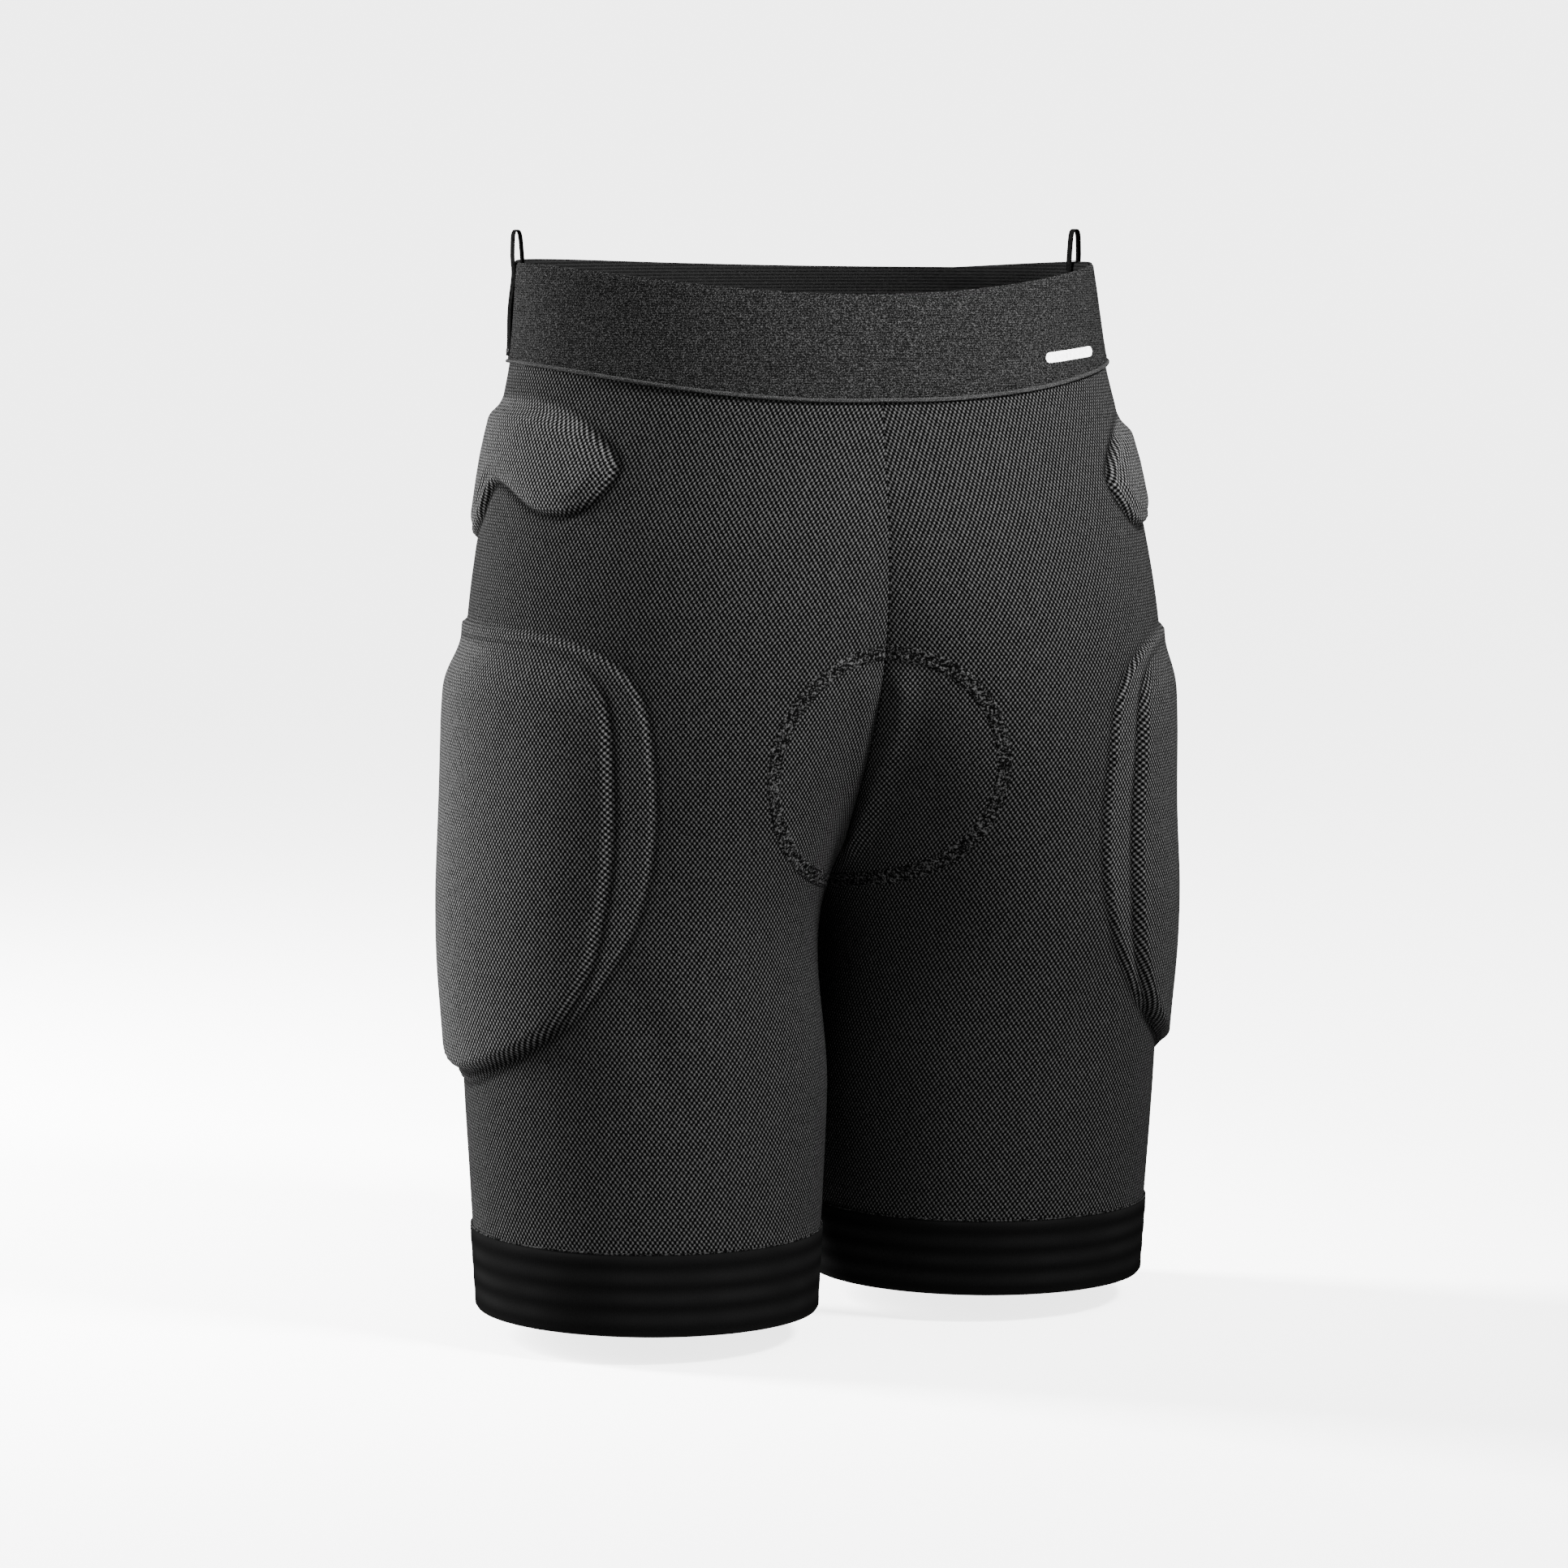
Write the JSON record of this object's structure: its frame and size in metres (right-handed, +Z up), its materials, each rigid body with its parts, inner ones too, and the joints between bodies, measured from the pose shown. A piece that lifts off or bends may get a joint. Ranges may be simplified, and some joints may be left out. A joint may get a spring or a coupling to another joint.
{
  "type": "padded impact shorts",
  "caption": "Pull-on protective shorts: mesh shell with elastic waistband and hems, enclosed hip, thigh and tailbone pads, seat pad and hanger loops.",
  "frame": {"origin": "centre of the waist opening, level with the rim at the sides", "axes": "+Z up out of the waist, -Y the wearer's front, -X the wearer's right"},
  "size_m": [0.3668, 0.2614, 0.51],
  "materials": {
    "waist_elastic": "brushed matt",
    "waist_lining": "brushed matt",
    "print": "heat-transfer print, satin",
    "label": "woven satin",
    "seat_foam": "foam",
    "seat_lining": "brushed microfibre",
    "thread": "twisted thread",
    "seam_tape": "flat seam",
    "cover_mesh": "knitted mesh",
    "pad_foam": "closed-cell foam",
    "hem_elastic": "smooth elastic, slight sheen",
    "silicone": "satin",
    "hanger_tape": "woven tape",
    "mesh": "knitted mesh"
  },
  "bodies": {
    "pelvis": {"waistband": "waist_elastic", "waistband_lining": "waist_lining", "waistband_piping": "waist_elastic", "waistband_mark": "print", "front_seam": "seam_tape", "back_seam": "seam_tape", "tailbone_pad": "pad_foam", "tailbone_pad_cover": "cover_mesh", "care_label": "label", "right_seat_pad": "seat_foam", "right_seat_pad_lining": "seat_lining", "right_seat_ring": "thread", "right_hanger_bartack": "thread", "right_hanger_outer_tail": "hanger_tape", "right_hanger_inner_tail": "hanger_tape", "right_pelvis_panel": "mesh", "right_hip_pad": "pad_foam", "right_hip_pad_cover": "cover_mesh", "left_seat_pad": "seat_foam", "left_seat_pad_lining": "seat_lining", "left_seat_ring": "thread", "left_hanger_bartack": "thread", "left_hanger_outer_tail": "hanger_tape", "left_hanger_inner_tail": "hanger_tape", "left_pelvis_panel": "mesh", "left_hip_pad": "pad_foam", "left_hip_pad_cover": "cover_mesh"},
    "right_leg": {"right_hip_crease": "mesh", "right_thigh_panel": "mesh", "right_hem_band": "hem_elastic", "right_hem_seam": "thread", "right_hem_grip": "silicone", "right_inseam": "seam_tape", "right_thigh_pad_base": "pad_foam", "right_thigh_pad": "pad_foam", "right_thigh_pad_cover": "cover_mesh"},
    "left_leg": {"left_hip_crease": "mesh", "left_thigh_panel": "mesh", "left_hem_band": "hem_elastic", "left_hem_seam": "thread", "left_hem_grip": "silicone", "left_inseam": "seam_tape", "left_thigh_pad_base": "pad_foam", "left_thigh_pad": "pad_foam", "left_thigh_pad_cover": "cover_mesh"},
    "right_loop": {"right_hanger_loop": "hanger_tape"},
    "left_loop": {"left_hanger_loop": "hanger_tape"}
  },
  "joints": [
    {"name": "right_hip_flex", "type": "hinge", "parent": "pelvis", "child": "right_leg", "pos_m": [0, -0.005, -0.2], "axis": [-1, 0, 0], "range_deg": [-15, 18], "stiffness_Nm_per_rad": 4, "deforming": ["right_hip_crease"]},
    {"name": "left_hip_flex", "type": "hinge", "parent": "pelvis", "child": "left_leg", "pos_m": [0, -0.005, -0.2], "axis": [-1, 0, 0], "range_deg": [-15, 18], "stiffness_Nm_per_rad": 4, "deforming": ["left_hip_crease"]},
    {"name": "right_loop_fold", "type": "hinge", "parent": "pelvis", "child": "right_loop", "pos_m": [-0.1405, 0.0145, 0], "axis": [0, -1, 0], "range_deg": [-60, 60], "stiffness_Nm_per_rad": 0.002},
    {"name": "left_loop_fold", "type": "hinge", "parent": "pelvis", "child": "left_loop", "pos_m": [0.1405, 0.0145, 0], "axis": [0, 1, 0], "range_deg": [-60, 60], "stiffness_Nm_per_rad": 0.002}
  ]
}
